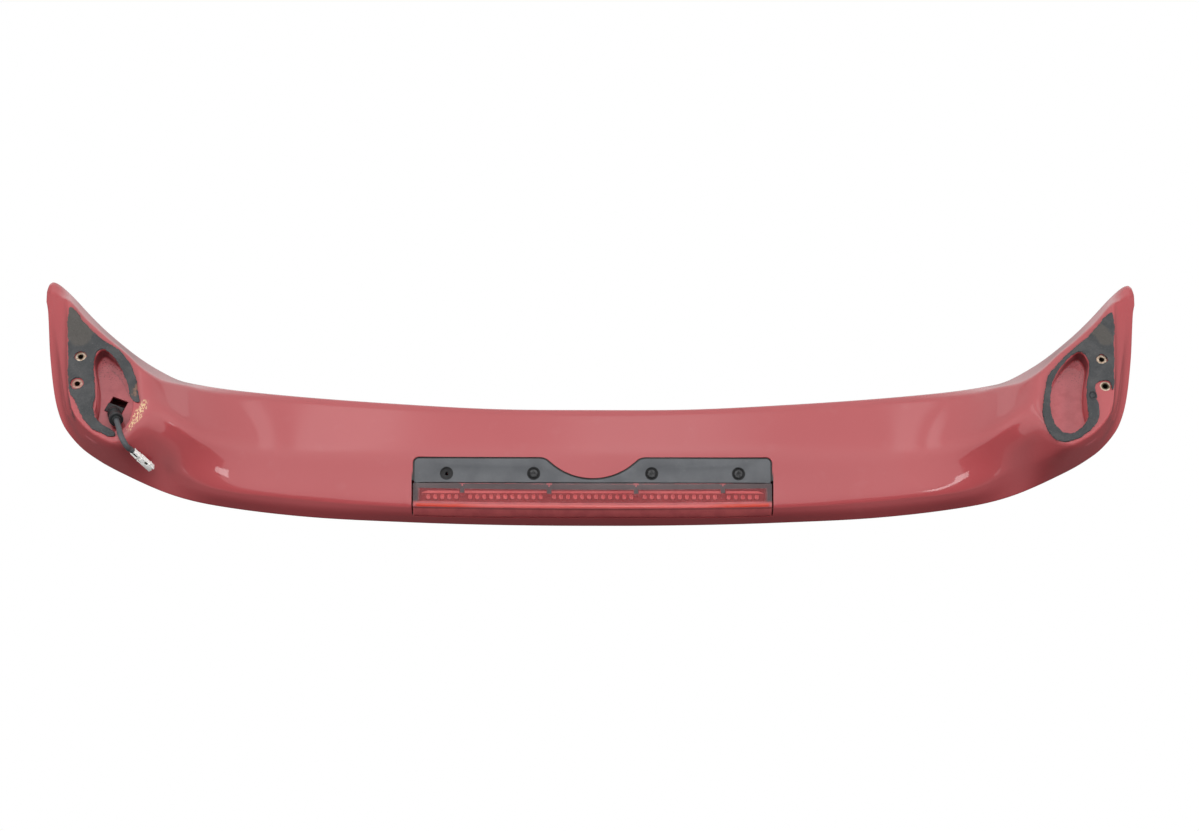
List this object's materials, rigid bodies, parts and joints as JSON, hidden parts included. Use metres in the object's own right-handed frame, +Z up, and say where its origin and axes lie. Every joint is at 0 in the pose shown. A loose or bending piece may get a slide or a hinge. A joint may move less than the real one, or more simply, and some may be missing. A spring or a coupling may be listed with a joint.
{
  "type": "car spoiler",
  "caption": "Hollow painted rear spoiler blade on feet with foam gaskets and threaded inserts, a brake lamp set in its trailing edge and a short supply cable with a connector.",
  "frame": {"origin": "middle of the four threaded inserts, on the plane of the painted mounting faces of the feet", "axes": "+Z up, away from the boot lid; +Y forward on the car; +X to the car's right, the side with the cable"},
  "size_m": [1.282, 0.268, 0.1235],
  "materials": {
    "shell_paint": "red paint over blow-moulded plastic, worn and dusty on the underside",
    "foam": "closed-cell foam, matt, torn",
    "insert_brass": "turned, dull",
    "plate_plastic": "grey, finely textured",
    "lens_red": "clear red, polished",
    "board_green": "printed board",
    "cell_red": "clear domes",
    "carrier_black": "dark, matt",
    "screw_steel": "black coated",
    "black_plastic": "moulded",
    "rubber": "moulded, matt",
    "white_nylon": "moulded, slightly glossy",
    "cable_jacket": "grey jacket, smooth",
    "contact_metal": "tinned"
  },
  "bodies": {
    "root": {"spoiler_shell": "shell_paint", "gasket_left": "foam", "gasket_right": "foam", "insert_front_left": "insert_brass", "insert_rear_left": "insert_brass", "insert_front_right": "insert_brass", "insert_rear_right": "insert_brass", "lamp_housing": "plate_plastic", "lamp_lens": "lens_red", "lamp_seal": "foam", "lamp_board": "board_green", "lamp_cells": "cell_red", "lamp_carrier": "carrier_black", "lamp_screw_left_outer": "screw_steel", "lamp_screw_left_inner": "screw_steel", "lamp_screw_right_inner": "screw_steel", "screw_nut_left_outer": "black_plastic", "screw_nut_left_inner": "black_plastic", "screw_nut_right_inner": "black_plastic", "screw_nut_right_outer": "black_plastic", "lamp_plug": "white_nylon", "inner_harness": "rubber", "harness_clip_outer": "white_nylon", "harness_clip_inner": "white_nylon", "cable_grommet": "rubber", "cable_sheath": "cable_jacket", "connector_housing": "white_nylon", "connector_contacts": "contact_metal"}
  },
  "joints": []
}
